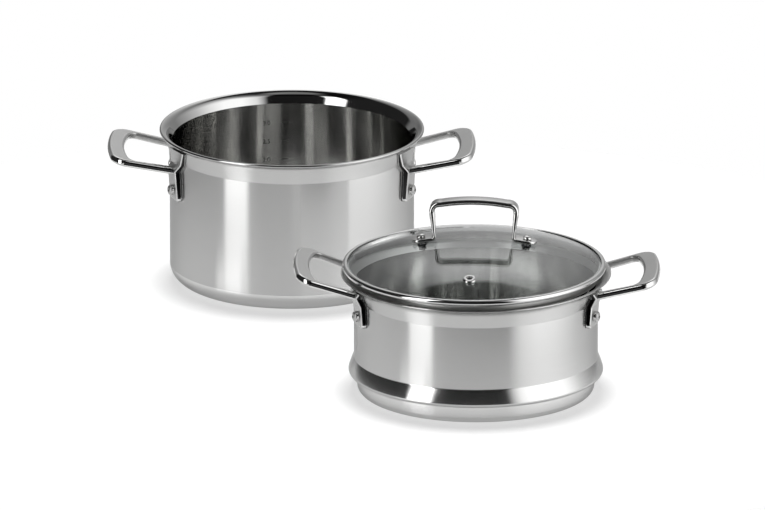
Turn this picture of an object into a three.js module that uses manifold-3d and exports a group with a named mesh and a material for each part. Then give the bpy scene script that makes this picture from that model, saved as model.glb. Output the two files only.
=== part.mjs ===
// Two-handled cooking pot with its steamer insert and glass lid, standing side by side.
// Millimetres, +Z up, origin at the centre of the pot's base, handles along X.
import * as THREE from 'three';
import { mergeVertices } from 'three/addons/utils/BufferGeometryUtils.js';
import Module from 'manifold-3d';

const wasm = await Module();
wasm.setup();

const degrees = Math.PI / 180;

// Fits
const clearance = 0.3;
const seatClearance = 0.5;
const eyeletClearance = 0.45;

// Faceting
const weld = 1e-3;
const chordError = 0.3;
const roundSides = 40;
const domeSteps = 6;
const strapSteps = 3;
const loopSteps = 4;
const footSteps = 8;
const headSteps = 3;
const gripSteps = 36;
const edgeSteps = 2;
const boltSides = 10;
const washerSides = 12;
const holeSides = 8;
const nutSides = 6;

// Vessels: both have the same inside radius and the same flared rim, so one lid fits both
const innerRadius = 100;
const rimCurve = 15.5;
const potWall = 2.5;
const potHeight = 130.3;
const potCorner = 15;
const potRimTurn = 62 * degrees;
const steamerWall = 1;
const steamerHeight = 100;
const steamerCorner = 5;
const steamerRimTurn = 70 * degrees;

// Lower part of the steamer: a skirt that enters the pot and a bulge that rests on its rim
const skirtClearance = 2.6;
const stepHeight = 16.5;
const stepFillet = 2;
const bulgeReach = 3.8;
const bulgeTurn = 4.5;
const bulgeRise = 14;
const steamHoleRadius = 4.5;
const steamHolePitch = 18;
const steamHolesPerRing = 6;

// Where the steamer stands beside the pot
const steamerAside = 152;
const steamerForward = 308;

// Side handles: a flat loop on two riveted straps
const handleLength = 56.3;
const potLeftTilt = 11.4 * degrees;
const potRightTilt = 12.6 * degrees;
const steamerLeftTilt = 18.6 * degrees;
const steamerRightTilt = 14.2 * degrees;
const handleThickness = 6;
const handleEdge = 1.2;
const armWidth = 6.5;
const armRootHalf = 40.5;
const paddleHalf = 45.5;
const paddleWidth = 15;
const paddleCorner = 13;
const paddleCrown = 2.5;
const slotCorner = 10;
const slotCrown = 4;
const potHandleDrop = 26;
const steamerHandleDrop = 10;

// Straps: offsets run along the wall from the handle's middle
const strapWidth = 18;
const strapThickness = 4.2;
const strapEdge = 0.8;
const strapOffset = 38;
const legLean = 0.11;
const legDrop = 25.5;
const legCorner = 4;
const rivetDrop = 16.5;
const webLean = 1.3;
const webBend = 55;
const webFan = 0.15;
const webGap = 5;

// Rivets
const rivetShankRadius = 2.2;
const rivetHeadRadius = 3.9;
const rivetSide = 1.6;
const rivetDome = 2.6;
const rivetInnerHeadRadius = 3.4;
const rivetInnerHead = 1;

// Lid
const lidSeatReach = 5.2;
const bandReach = 8.1;
const bandSkirt = 5.7;
const bandSkirtWidth = 2;
const bandSheet = 0.7;
const bandLip = 3.8;
const bandRound = 1.8;
const glassThickness = 3;
const glassRise = 18;
const lidTurn = -3 * degrees;
const lidPlay = 1.5;

// Lid handle: a flat bar bent into a bail, with legs that thin towards two feet
const barWidth = 13;
const barThickness = 4.4;
const barEdge = 1.8;
const legThickness = 2.2;
const gripHeight = 37.4;
const gripTopHalf = 36.6;
const gripFootHalf = 31.6;
const gripCrown = 2.3;
const gripBend = 8.5;
const footWidth = 11;
const footThickness = 3;
const footReach = 11.4;
const footTip = 5.6;

// Screws, washers and vent
const screwShankRadius = 2;
const screwHeadRadius = 4.2;
const screwDome = 2.2;
const gasketRadius = 4.8;
const upperGasketHeight = 1.4;
const lowerGasketHeight = 1.6;
const nutRadius = 4.4;
const nutHeight = 2.6;
const screwTail = 1;
const ventInset = 26;
const eyeletFlangeRadius = 5.5;
const eyeletFlange = 1.2;
const eyeletTubeRadius = 3.2;
const eyeletBoreRadius = 2.1;
const eyeletRimRadius = 4.6;
const eyeletRim = 0.8;

// Worked-out places
const potRadius = innerRadius + potWall;
const steamerRadius = innerRadius + steamerWall;
const rimCentreRadius = innerRadius + rimCurve;
const potRimBase = rimBase(potHeight, potWall, potRimTurn);
const steamerRimBase = rimBase(steamerHeight, steamerWall, steamerRimTurn);
const skirtRadius = innerRadius - skirtClearance;
const bulgeRadius = steamerRadius + bulgeReach;
const stepRun = bulgeRadius - bulgeTurn - skirtRadius;
const steamHoleRings = Math.floor((skirtRadius - steamerCorner - steamHoleRadius) / steamHolePitch);
const innerFlat = innerRadius * Math.cos(Math.PI / roundSides);
const screwReach = gripFootHalf + footReach;
const ventReach = innerRadius - ventInset;

// Materials
const brushedSteel = new THREE.MeshStandardMaterial({ color: 0xb4b4b2, roughness: 0.35, metalness: 1 });
const polishedSteel = new THREE.MeshStandardMaterial({ color: 0xc6c6c4, roughness: 0.12, metalness: 1 });
const satinSteel = new THREE.MeshStandardMaterial({ color: 0xa9a9a7, roughness: 0.42, metalness: 1 });
const clearGlass = new THREE.MeshStandardMaterial({
  color: 0xdfe6e4, roughness: 0.05, metalness: 0, transparent: true, opacity: 0.35,
});
const blackSilicone = new THREE.MeshStandardMaterial({ color: 0x1b1b1c, roughness: 0.7, metalness: 0 });

// Height at which a wall starts to flare, so that the top of its lip lies at the given height
function rimBase(height, wall, turn) {
  const middle = rimCurve - wall / 2;
  return height - wall / 2 - middle * Math.sin(turn);
}

// Closed solid from a three.js geometry: corners merged, flat triangles dropped, faces outward
function solid(geometry) {
  const bare = geometry.clone();
  bare.deleteAttribute('normal');
  bare.deleteAttribute('uv');
  const merged = mergeVertices(bare, weld);
  const corners = merged.index.array;
  const triangles = [];
  for (let i = 0; i < corners.length; i += 3) {
    const [a, b, c] = corners.slice(i, i + 3);
    if (a !== b && b !== c && c !== a) {
      triangles.push(a, b, c);
    }
  }
  const vertProperties = new Float32Array(merged.attributes.position.array);
  if (signedVolume(vertProperties, triangles) < 0) {
    triangles.reverse();
  }
  const triVerts = new Uint32Array(triangles);
  return new wasm.Manifold(new wasm.Mesh({ numProp: 3, vertProperties, triVerts }));
}

function signedVolume(positions, triangles) {
  const [a, b, c] = [new THREE.Vector3(), new THREE.Vector3(), new THREE.Vector3()];
  let volume = 0;
  for (let i = 0; i < triangles.length; i += 3) {
    a.fromArray(positions, triangles[i] * 3);
    b.fromArray(positions, triangles[i + 1] * 3);
    c.fromArray(positions, triangles[i + 2] * 3);
    volume += a.dot(b.cross(c)) / 6;
  }
  return volume;
}

// Named mesh from a solid
function piece(name, body, material) {
  const mesh = body.getMesh();
  const geometry = new THREE.BufferGeometry();
  geometry.setAttribute('position', new THREE.BufferAttribute(mesh.vertProperties, 3));
  geometry.setIndex(new THREE.BufferAttribute(mesh.triVerts, 1));
  geometry.computeVertexNormals();
  const named = new THREE.Mesh(geometry, material);
  named.name = name;
  return named;
}

// Turned geometry about Z from a profile of radius and height, without the doubled points where arcs meet
function lathe(profile, sides) {
  const distinct = profile.filter((point, i) => i === 0 || point.distanceTo(profile[i - 1]) > weld);
  return new THREE.LatheGeometry(distinct, sides).rotateX(Math.PI / 2);
}

function turned(profile) {
  return solid(lathe(profile, roundSides));
}

// Round bar along Z between two heights
function bar(radius, low, high, sides = boltSides) {
  const geometry = new THREE.CylinderGeometry(radius, radius, high - low, sides).rotateX(Math.PI / 2);
  return geometry.translate(0, 0, (low + high) / 2);
}

// Points of an arc about a centre, as many as keep its chords close to it
function arc(x, y, radius, from, to) {
  const stride = 2 * Math.acos(1 - Math.min(1, chordError / radius));
  const steps = Math.ceil(Math.abs(to - from) / stride);
  return new THREE.EllipseCurve(x, y, radius, radius, from, to, to < from).getPoints(steps);
}

// Outline of a sheet wall at a given depth below its outer face, from the axis to the lip
function potLine(inset) {
  return [
    new THREE.Vector2(0, inset),
    ...arc(potRadius - potCorner, potCorner, potCorner - inset, -Math.PI / 2, 0),
    ...arc(rimCentreRadius, potRimBase, rimCurve - potWall + inset, Math.PI, Math.PI - potRimTurn),
  ];
}

function steamerLine(inset) {
  const half = bulgeReach / 2;
  const sweepRadius = ((bulgeRise / 2) ** 2 + half ** 2) / (2 * half);
  const sweep = Math.asin(bulgeRise / 2 / sweepRadius);
  const fillet = Math.min(stepFillet, stepRun);
  const widest = stepHeight + bulgeTurn;
  const top = widest + bulgeRise;
  return [
    new THREE.Vector2(0, inset),
    ...arc(skirtRadius - steamerCorner, steamerCorner, steamerCorner - inset, -Math.PI / 2, 0),
    ...arc(skirtRadius + fillet, stepHeight - fillet, fillet + inset, Math.PI, Math.PI / 2),
    ...arc(bulgeRadius - bulgeTurn, widest, bulgeTurn - inset, -Math.PI / 2, 0),
    ...arc(bulgeRadius - sweepRadius, widest, sweepRadius - inset, 0, sweep),
    ...arc(steamerRadius + sweepRadius, top, sweepRadius + inset, Math.PI + sweep, Math.PI),
    ...arc(rimCentreRadius, steamerRimBase, rimCurve - steamerWall + inset, Math.PI, Math.PI - steamerRimTurn),
  ];
}

// Rounded edge that closes the lip of a flared wall
function lipRound(base, wall, turn) {
  const middle = rimCurve - wall / 2;
  const radius = rimCentreRadius - middle * Math.cos(turn);
  const height = base + middle * Math.sin(turn);
  return arc(radius, height, wall / 2, -turn, Math.PI - turn);
}

// Outer radius of a flared wall at a given height
function wallRadiusAt(vessel, height) {
  const rise = Math.max(0, height - vessel.rimBase);
  return rimCentreRadius - Math.sqrt((rimCurve - vessel.wall) ** 2 - rise ** 2);
}

// One end of the handle loop, from one side to the other, with rounded corners and a crowned edge
function addRoundEnd(shape, reach, half, corner, crown, side) {
  const edge = reach - crown;
  const flat = half - corner;
  const lean = crown * corner / flat;
  shape.lineTo(edge - corner, -side * half);
  shape.bezierCurveTo(
    edge - corner / 2, -side * half, edge - lean, -side * (flat + corner / 2), edge, -side * flat,
  );
  shape.quadraticCurveTo(reach + crown, 0, edge, side * flat);
  shape.bezierCurveTo(
    edge - lean, side * (flat + corner / 2), edge - corner / 2, side * half, edge - corner, side * half,
  );
}

// Flat loop of a side handle, tilted up from its root in the straps
function handleLoop(vessel, tilt) {
  const root = Math.sqrt(vessel.radius ** 2 - strapOffset ** 2) + strapThickness / 2;
  const slotHalf = paddleHalf - armWidth;
  const loop = new THREE.Shape();
  loop.moveTo(-strapThickness, -armRootHalf);
  addRoundEnd(loop, handleLength, paddleHalf, paddleCorner, paddleCrown, 1);
  loop.lineTo(-strapThickness, armRootHalf);
  loop.lineTo(-strapThickness, armRootHalf - armWidth);
  addRoundEnd(loop, handleLength - paddleWidth, slotHalf, slotCorner, slotCrown, -1);
  loop.lineTo(-strapThickness, armWidth - armRootHalf);
  const geometry = new THREE.ExtrudeGeometry(loop, {
    depth: handleThickness - 2 * handleEdge,
    curveSegments: loopSteps,
    bevelThickness: handleEdge,
    bevelSize: handleEdge,
    bevelOffset: -handleEdge,
    bevelSegments: 1,
  });
  geometry.translate(0, 0, handleEdge - handleThickness / 2);
  geometry.rotateY(-tilt);
  geometry.translate(root, 0, vessel.height - vessel.handleDrop);
  return solid(geometry);
}

// Offset of a strap's middle line along the wall, at a height above the handle's root
function strapMiddle(height) {
  if (height < 0) {
    return strapOffset - legLean * height;
  }
  return strapOffset + webLean * height * (1 - height / webBend);
}

// Strap that hugs the wall: a leg down past the rivet and a web leaning out under the rim
function strap(vessel, side) {
  const half = strapWidth / 2;
  const legEnd = legCorner - legDrop;
  const heights = [];
  for (let i = 0; i <= strapSteps; i += 1) {
    heights.push(legEnd * (1 - i / strapSteps));
  }
  for (let i = 1; i <= strapSteps; i += 1) {
    heights.push((vessel.handleDrop - webGap) * i / strapSteps);
  }
  const edge = (hand) => heights.map((height) => {
    const reach = half + webFan * Math.max(0, height);
    return new THREE.Vector2(strapMiddle(height) + hand * reach, height);
  });
  const cornerAt = (hand) => strapMiddle(legEnd) + hand * (half - legCorner);
  const outline = new THREE.Shape([
    ...edge(1),
    ...edge(-1).reverse(),
    ...arc(cornerAt(-1), legEnd, legCorner, Math.PI, 1.5 * Math.PI).slice(1),
    ...arc(cornerAt(1), legEnd, legCorner, 1.5 * Math.PI, 2 * Math.PI).slice(0, -1),
  ]);
  const geometry = new THREE.ExtrudeGeometry(outline, {
    depth: strapThickness - 2 * strapEdge,
    bevelThickness: strapEdge,
    bevelSize: strapEdge,
    bevelOffset: -strapEdge,
    bevelSegments: 1,
  });
  geometry.translate(0, vessel.height - vessel.handleDrop, strapEdge);
  wrapOnWall(geometry, vessel, side);
  return solid(geometry);
}

// Bends a flat geometry (x along the wall, y up, z out) round the vessel, mirrored for side -1
function wrapOnWall(geometry, vessel, side) {
  const points = geometry.attributes.position;
  for (let i = 0; i < points.count; i += 1) {
    const radius = wallRadiusAt(vessel, points.getY(i)) + clearance + points.getZ(i);
    const angle = side * points.getX(i) / vessel.radius;
    points.setXYZ(i, radius * Math.cos(angle), radius * Math.sin(angle), points.getY(i));
  }
}

// Place of a rivet: out along X, turned to its angle round the vessel, at its height
function placeRivet(geometry, vessel, side) {
  const height = vessel.height - vessel.handleDrop - rivetDrop;
  const angle = side * strapMiddle(-rivetDrop) / vessel.radius;
  return geometry.rotateY(Math.PI / 2).rotateZ(angle).translate(0, 0, height);
}

function rivetHole(vessel, side) {
  const inside = innerRadius - rivetInnerHeadRadius;
  const outside = vessel.radius + strapThickness + rivetHeadRadius;
  const drill = bar(rivetShankRadius + clearance, inside, outside);
  return solid(placeRivet(drill, vessel, side));
}

function rivet(vessel, side) {
  const inner = innerFlat - clearance;
  const outer = vessel.radius + strapThickness + 2 * clearance;
  const dome = new THREE.EllipseCurve(0, outer + rivetSide, rivetHeadRadius, rivetDome, 0, Math.PI / 2);
  const profile = [
    new THREE.Vector2(0, inner - rivetInnerHead),
    new THREE.Vector2(rivetInnerHeadRadius - rivetInnerHead, inner - rivetInnerHead),
    new THREE.Vector2(rivetInnerHeadRadius, inner),
    new THREE.Vector2(rivetShankRadius, inner),
    new THREE.Vector2(rivetShankRadius, outer),
    new THREE.Vector2(rivetHeadRadius, outer),
    ...dome.getPoints(headSteps),
  ];
  return solid(placeRivet(lathe(profile, boltSides), vessel, side));
}

// Space of a vessel and the clearance round it, for trimming what lies against its wall
function wallBlock(vessel) {
  const line = vessel.line(-clearance);
  const top = line[line.length - 1].y;
  return turned([...line, new THREE.Vector2(0, top)]);
}

function handle(vessel, tilt) {
  let body = handleLoop(vessel, tilt);
  for (const side of [-1, 1]) {
    body = body.add(strap(vessel, side)).subtract(rivetHole(vessel, side));
  }
  return body.subtract(wallBlock(vessel));
}

// Wall with the rivet holes of both handles
function drilled(body, vessel) {
  let wall = body;
  for (const side of [-1, 1]) {
    const hole = rivetHole(vessel, side);
    wall = wall.subtract(hole).subtract(hole.rotate([0, 0, 180]));
  }
  return wall;
}

// Both handles of a vessel with their rivets; the left handle is the right one turned half round
function addHandles(group, vessel) {
  const ends = [['right', 0], ['left', Math.PI]];
  for (const [end, turn] of ends) {
    const mount = new THREE.Group();
    mount.rotation.z = turn;
    mount.add(piece(`${vessel.name}_handle_${end}`, handle(vessel, vessel.tilts[end]), satinSteel));
    for (const side of [-1, 1]) {
      const facesFront = (side < 0) === (turn === 0);
      const name = `${vessel.name}_rivet_${end}_${facesFront ? 'front' : 'rear'}`;
      mount.add(piece(name, rivet(vessel, side), polishedSteel));
    }
    group.add(mount);
  }
}

const pot = {
  name: 'pot',
  radius: potRadius,
  wall: potWall,
  height: potHeight,
  rimBase: potRimBase,
  line: potLine,
  tilts: { left: potLeftTilt, right: potRightTilt },
  handleDrop: potHandleDrop,
};

const steamer = {
  name: 'steamer',
  radius: steamerRadius,
  wall: steamerWall,
  height: steamerHeight,
  rimBase: steamerRimBase,
  line: steamerLine,
  tilts: { left: steamerLeftTilt, right: steamerRightTilt },
  handleDrop: steamerHandleDrop,
};

function makePot() {
  const group = new THREE.Group();
  const lip = lipRound(potRimBase, potWall, potRimTurn);
  const shell = turned([...potLine(0), ...lip, ...potLine(potWall).reverse()]);
  group.add(piece('pot_body', drilled(shell, pot), brushedSteel));
  addHandles(group, pot);
  return group;
}

// Rings of steam holes through the base, leaving its centre whole
function perforated(body) {
  let base = body;
  for (let ring = 1; ring <= steamHoleRings; ring += 1) {
    const count = steamHolesPerRing * ring;
    for (let i = 0; i < count; i += 1) {
      const angle = 2 * Math.PI * i / count;
      const hole = bar(steamHoleRadius, -steamerWall, 2 * steamerWall, holeSides);
      hole.translate(ring * steamHolePitch, 0, 0).rotateZ(angle);
      base = base.subtract(solid(hole));
    }
  }
  return base;
}

function makeSteamer() {
  const group = new THREE.Group();
  const lip = lipRound(steamerRimBase, steamerWall, steamerRimTurn);
  const shell = turned([...steamerLine(0), ...lip, ...steamerLine(steamerWall).reverse()]);
  group.add(piece('steamer_body', perforated(drilled(shell, steamer)), brushedSteel));
  addHandles(group, steamer);
  return group;
}

// Lid heights, from the seat on the flared rim upwards
const lidSeatHeight = steamerRimBase + seatClearance
  + Math.sqrt(rimCurve ** 2 - (rimCurve - lidSeatReach) ** 2);
const bandBottom = lidSeatHeight + bandSkirt;
const bandRadius = innerRadius + bandReach;
const grooveRadius = bandRadius - bandSheet;
const glassRadius = grooveRadius - clearance;
const flangeBottom = bandBottom + bandSheet + clearance;
const flangeTop = flangeBottom + glassThickness;
const bandTop = flangeTop + clearance + bandSheet;
const domeEdge = bandRadius - bandLip;
const domeRadius = (domeEdge ** 2 + glassRise ** 2) / (2 * glassRise);
const domeCentre = flangeTop + glassRise - domeRadius;

// Height of the glass dome's outer face, moved out by an offset, at a distance from the axis
function domeHeight(reach, offset = 0) {
  return domeCentre + Math.sqrt((domeRadius + offset) ** 2 - reach ** 2);
}

// Arc of a dome surface from the axis down to a height
function domeArc(radius, height) {
  const end = Math.asin((height - domeCentre) / radius);
  const curve = new THREE.EllipseCurve(0, domeCentre, radius, radius, Math.PI / 2, end, true);
  return curve.getPoints(domeSteps);
}

// Moves a piece of a foot's stack from the origin to its place on the glass, square to the dome
const footTilt = Math.asin(screwReach / domeRadius);

function placeFoot(geometry, side) {
  geometry.rotateY(footTilt).translate(screwReach, 0, domeHeight(screwReach));
  return side > 0 ? geometry : geometry.rotateZ(Math.PI);
}

const feet = [['left', -1], ['right', 1]];

function makeGlass() {
  const outer = domeArc(domeRadius, flangeTop);
  const inner = domeArc(domeRadius - glassThickness, flangeBottom).reverse();
  const edge = [new THREE.Vector2(glassRadius, flangeTop), new THREE.Vector2(glassRadius, flangeBottom)];
  let glass = turned([...outer, ...edge, ...inner]);
  for (const [, side] of feet) {
    const hole = bar(screwShankRadius + 2 * clearance, -2 * glassThickness, glassThickness);
    glass = glass.subtract(solid(placeFoot(hole, side).rotateZ(lidTurn)));
  }
  const vent = placeVent(bar(eyeletTubeRadius + eyeletClearance, -2 * glassThickness, glassThickness));
  return glass.subtract(solid(vent.rotateZ(lidTurn)));
}

// Rolled band: a channel round the glass edge and a skirt that seats in the rim
function makeBand() {
  const seatOuter = innerRadius + lidSeatReach - lidPlay;
  const seatInner = seatOuter - bandSkirtWidth;
  const lip = bandRadius - bandLip;
  const roundRadius = bandRadius - bandRound;
  return turned([
    new THREE.Vector2(seatInner, lidSeatHeight),
    new THREE.Vector2(seatOuter, lidSeatHeight),
    new THREE.Vector2(seatOuter, bandBottom),
    ...arc(roundRadius, bandBottom + bandRound, bandRound, -Math.PI / 2, 0),
    ...arc(roundRadius, bandTop - bandRound, bandRound, 0, Math.PI / 2),
    new THREE.Vector2(lip, bandTop),
    new THREE.Vector2(lip, flangeTop + clearance),
    new THREE.Vector2(grooveRadius, flangeTop + clearance),
    new THREE.Vector2(grooveRadius, flangeBottom - clearance),
    new THREE.Vector2(seatInner, flangeBottom - clearance),
    new THREE.Vector2(seatInner, lidSeatHeight),
  ]);
}

// Heights of the stack that holds each foot of the lid handle, from the outer face of the glass
const upperGasketTop = clearance + upperGasketHeight;
const footBottom = upperGasketTop + clearance;
const footTop = footBottom + footThickness;
const headSeat = footTop + clearance;
const lowerGasketTop = -glassThickness - clearance;
const lowerGasketBottom = lowerGasketTop - lowerGasketHeight;
const nutTop = lowerGasketBottom - clearance;
const nutBottom = nutTop - nutHeight;

// Bail of the lid handle in the XZ plane: leg, crowned bar, leg
const gripLow = domeHeight(screwReach) + footReach * Math.sin(footTilt) + footBottom + footThickness / 2;
const gripHigh = domeHeight(0) + gripHeight - barThickness / 2;
const shoulderHalf = gripTopHalf - barThickness / 2;
const shoulderHeight = gripHigh - gripCrown;
const legTop = shoulderHeight - gripBend;
const legSlope = (shoulderHalf - gripFootHalf) / (shoulderHeight - gripLow);

function legMiddle(height) {
  return gripFootHalf + legSlope * (height - gripLow);
}

function gripPath() {
  const path = new THREE.CurvePath();
  const at = (x, z) => new THREE.Vector3(x, 0, z);
  const lineTo = (from, to) => path.add(new THREE.LineCurve3(from, to));
  const bendTo = (from, by, to) => path.add(new THREE.QuadraticBezierCurve3(from, by, to));
  const low = (side) => at(side * legMiddle(gripLow), gripLow);
  const high = (side) => at(side * legMiddle(legTop), legTop);
  const corner = (side) => at(side * shoulderHalf, shoulderHeight);
  const shoulder = (side) => at(side * (shoulderHalf - gripBend), shoulderHeight);
  lineTo(low(-1), high(-1));
  bendTo(high(-1), corner(-1), shoulder(-1));
  bendTo(shoulder(-1), at(0, gripHigh + gripCrown), shoulder(1));
  bendTo(shoulder(1), corner(1), high(1));
  lineTo(high(1), low(1));
  return path;
}

// Flat section with rounded edges, wide across the path
function barSection() {
  const wide = barWidth / 2;
  const thick = barThickness / 2;
  const section = new THREE.Shape();
  section.moveTo(barEdge - wide, -thick);
  section.lineTo(wide - barEdge, -thick);
  section.quadraticCurveTo(wide, -thick, wide, barEdge - thick);
  section.lineTo(wide, thick - barEdge);
  section.quadraticCurveTo(wide, thick, wide - barEdge, thick);
  section.lineTo(barEdge - wide, thick);
  section.quadraticCurveTo(-wide, thick, -wide, thick - barEdge);
  section.lineTo(-wide, barEdge - thick);
  section.quadraticCurveTo(-wide, -thick, barEdge - wide, -thick);
  return section;
}

// Thins the legs of the bail evenly from their top down to the feet
function thinLegs(geometry) {
  const points = geometry.attributes.position;
  for (let i = 0; i < points.count; i += 1) {
    const height = points.getZ(i);
    const share = Math.max(0, (legTop - height) / (legTop - gripLow));
    const middle = Math.sign(points.getX(i)) * legMiddle(height);
    const scale = 1 + share * (legThickness / barThickness - 1);
    points.setX(i, share > 0 ? middle + (points.getX(i) - middle) * scale : points.getX(i));
  }
  return geometry;
}

function makeGrip() {
  const bail = new THREE.ExtrudeGeometry(barSection(), {
    steps: gripSteps,
    curveSegments: edgeSteps,
    bevelEnabled: false,
    extrudePath: gripPath(),
  });
  let grip = solid(thinLegs(bail));
  for (const [, side] of feet) {
    const hole = bar(screwShankRadius + clearance, footBottom - clearance, footTop + clearance);
    grip = grip.add(solid(placeFoot(footPad(), side)));
    grip = grip.subtract(solid(placeFoot(hole, side)));
  }
  return grip;
}

// Flat foot from the leg to a round tip about its screw
function footPad() {
  const half = footWidth / 2;
  const heel = -footReach - legThickness / 2;
  const pad = new THREE.Shape();
  pad.moveTo(heel, -half);
  pad.lineTo(footTip - half, -half);
  pad.absarc(footTip - half, 0, half, -Math.PI / 2, Math.PI / 2);
  pad.lineTo(heel, half);
  const options = { depth: footThickness, curveSegments: footSteps, bevelEnabled: false };
  return new THREE.ExtrudeGeometry(pad, options).translate(0, 0, footBottom);
}

function makeScrew() {
  const dome = new THREE.EllipseCurve(0, headSeat, screwHeadRadius, screwDome, 0, Math.PI / 2);
  const profile = [
    new THREE.Vector2(0, nutBottom - screwTail),
    new THREE.Vector2(screwShankRadius, nutBottom - screwTail),
    new THREE.Vector2(screwShankRadius, headSeat),
    ...dome.getPoints(headSteps),
  ];
  return lathe(profile, boltSides);
}

// Flat ring about a screw: a washer of soft rubber, or a nut
function ring(radius, low, high, sides) {
  const bore = screwShankRadius + clearance;
  const outer = new THREE.Shape().absarc(0, 0, radius, 0, 2 * Math.PI);
  outer.holes.push(new THREE.Path().absarc(0, 0, bore, 0, 2 * Math.PI));
  const options = { depth: high - low, curveSegments: sides, bevelEnabled: false };
  return new THREE.ExtrudeGeometry(outer, options).translate(0, 0, low);
}

// Moves a vent piece from the origin to its hole, square to the glass
function placeVent(geometry) {
  const tilt = Math.asin(ventReach / domeRadius);
  return geometry.rotateX(tilt).translate(0, -ventReach, domeHeight(ventReach));
}

function makeEyelet() {
  const under = -glassThickness - eyeletClearance;
  const profile = [
    new THREE.Vector2(eyeletBoreRadius, under - eyeletRim),
    new THREE.Vector2(eyeletRimRadius, under - eyeletRim),
    new THREE.Vector2(eyeletRimRadius, under),
    new THREE.Vector2(eyeletTubeRadius, under),
    new THREE.Vector2(eyeletTubeRadius, eyeletClearance),
    new THREE.Vector2(eyeletFlangeRadius, eyeletClearance),
    new THREE.Vector2(eyeletFlangeRadius - eyeletFlange, eyeletClearance + eyeletFlange),
    new THREE.Vector2(eyeletBoreRadius, eyeletClearance + eyeletFlange),
    new THREE.Vector2(eyeletBoreRadius, under - eyeletRim),
  ];
  return solid(placeVent(lathe(profile, washerSides)));
}

function makeLid() {
  const group = new THREE.Group();
  group.position.x = -lidPlay;
  group.add(piece('lid_glass', makeGlass(), clearGlass));
  group.add(piece('lid_rim_band', makeBand(), polishedSteel));
  const fittings = new THREE.Group();
  fittings.rotation.z = lidTurn;
  fittings.add(piece('lid_handle', makeGrip(), polishedSteel));
  for (const [end, side] of feet) {
    const stack = {
      screw: [makeScrew(), polishedSteel],
      upper_gasket: [ring(gasketRadius, clearance, upperGasketTop, washerSides), blackSilicone],
      lower_gasket: [ring(gasketRadius, lowerGasketBottom, lowerGasketTop, washerSides), blackSilicone],
      nut: [ring(nutRadius, nutBottom, nutTop, nutSides), polishedSteel],
    };
    for (const [name, [geometry, material]] of Object.entries(stack)) {
      fittings.add(piece(`lid_${name}_${end}`, solid(placeFoot(geometry, side)), material));
    }
  }
  fittings.add(piece('lid_vent_eyelet', makeEyelet(), polishedSteel));
  group.add(fittings);
  return group;
}

// Assembly: the steamer and its lid stand beside the pot
const beside = new THREE.Group();
beside.position.set(steamerAside, -steamerForward, 0);
beside.add(makeSteamer());
beside.add(makeLid());

const cookware = new THREE.Group();
cookware.add(makePot());
cookware.add(beside);

export default cookware;
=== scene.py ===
from math import asin, atan2, ceil, copysign, cos, degrees, dist, pi, radians, sin, sqrt, tan

import bpy
from mathutils import Matrix, Vector


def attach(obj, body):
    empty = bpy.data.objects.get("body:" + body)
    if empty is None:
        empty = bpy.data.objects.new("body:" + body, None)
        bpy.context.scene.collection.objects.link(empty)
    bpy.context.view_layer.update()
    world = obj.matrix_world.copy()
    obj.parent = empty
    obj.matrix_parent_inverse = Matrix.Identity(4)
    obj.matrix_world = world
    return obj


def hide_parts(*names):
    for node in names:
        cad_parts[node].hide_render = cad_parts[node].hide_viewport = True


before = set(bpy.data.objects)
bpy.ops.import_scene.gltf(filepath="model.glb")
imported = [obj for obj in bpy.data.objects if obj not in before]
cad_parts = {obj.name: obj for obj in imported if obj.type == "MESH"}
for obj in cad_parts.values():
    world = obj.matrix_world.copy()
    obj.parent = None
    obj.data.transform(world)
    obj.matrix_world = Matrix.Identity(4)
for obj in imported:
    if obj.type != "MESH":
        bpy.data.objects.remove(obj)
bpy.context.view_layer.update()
print("frame loaded")

# all sizes in this file are millimetres and degrees, as in the solid model
mm = 0.001
scene = bpy.context.scene
scene.view_settings.view_transform = "Standard"


def addObject(name, data):
    thing = bpy.data.objects.new(name, data)
    scene.collection.objects.link(thing)
    return thing


# camera: long lens, so that verticals and ellipses stay as in a far studio shot
cameraSetup = {
    "elevation": 17.15,
    "lens": 1100.0,
    "sensor": 36.0,
    "frameWidth": 639.6,
    "aim": (75.4, 62.5, 0.0),
    "clip": (1.0, 60.0),    # metres
}


def makeCamera(setup):
    data = bpy.data.cameras.new("photoCamera")
    data.lens = setup["lens"]
    data.sensor_width = setup["sensor"]
    data.clip_start, data.clip_end = setup["clip"]
    camera = addObject("photoCamera", data)
    distance = setup["frameWidth"] * mm * setup["lens"] / setup["sensor"]
    lift = radians(setup["elevation"])
    aim = Vector(setup["aim"]) * mm
    camera.location = aim + distance * Vector((0, -cos(lift), sin(lift)))
    camera.rotation_euler = (pi / 2 - lift, 0, 0)
    scene.camera = camera


makeCamera(cameraSetup)
print("camera placed")


# shader node helpers
def setSockets(tree, node, sockets):
    # each socket takes a plain value or another node's output
    for name, value in sockets.items():
        if isinstance(value, bpy.types.NodeSocket):
            tree.links.new(value, node.inputs[name])
        else:
            node.inputs[name].default_value = value


def newNode(tree, kind, sockets=None, **settings):
    node = tree.nodes.new("ShaderNode" + kind)
    for name, value in settings.items():
        setattr(node, name, value)
    setSockets(tree, node, sockets or {})
    return node


def newMath(tree, operation, *values):
    return newNode(tree, "Math", dict(enumerate(values)), operation=operation).outputs[0]


def newGroup(name, inputs):
    tree = bpy.data.node_groups.new(name, "ShaderNodeTree")
    for socketName, value in inputs.items():
        socket = tree.interface.new_socket(name=socketName, in_out="INPUT", socket_type="NodeSocketFloat")
        socket.default_value = value
    for socketName in ("Shade", "Roughness", "Height"):
        tree.interface.new_socket(name=socketName, in_out="OUTPUT", socket_type="NodeSocketFloat")
    return tree, tree.nodes.new("NodeGroupInput").outputs


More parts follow.
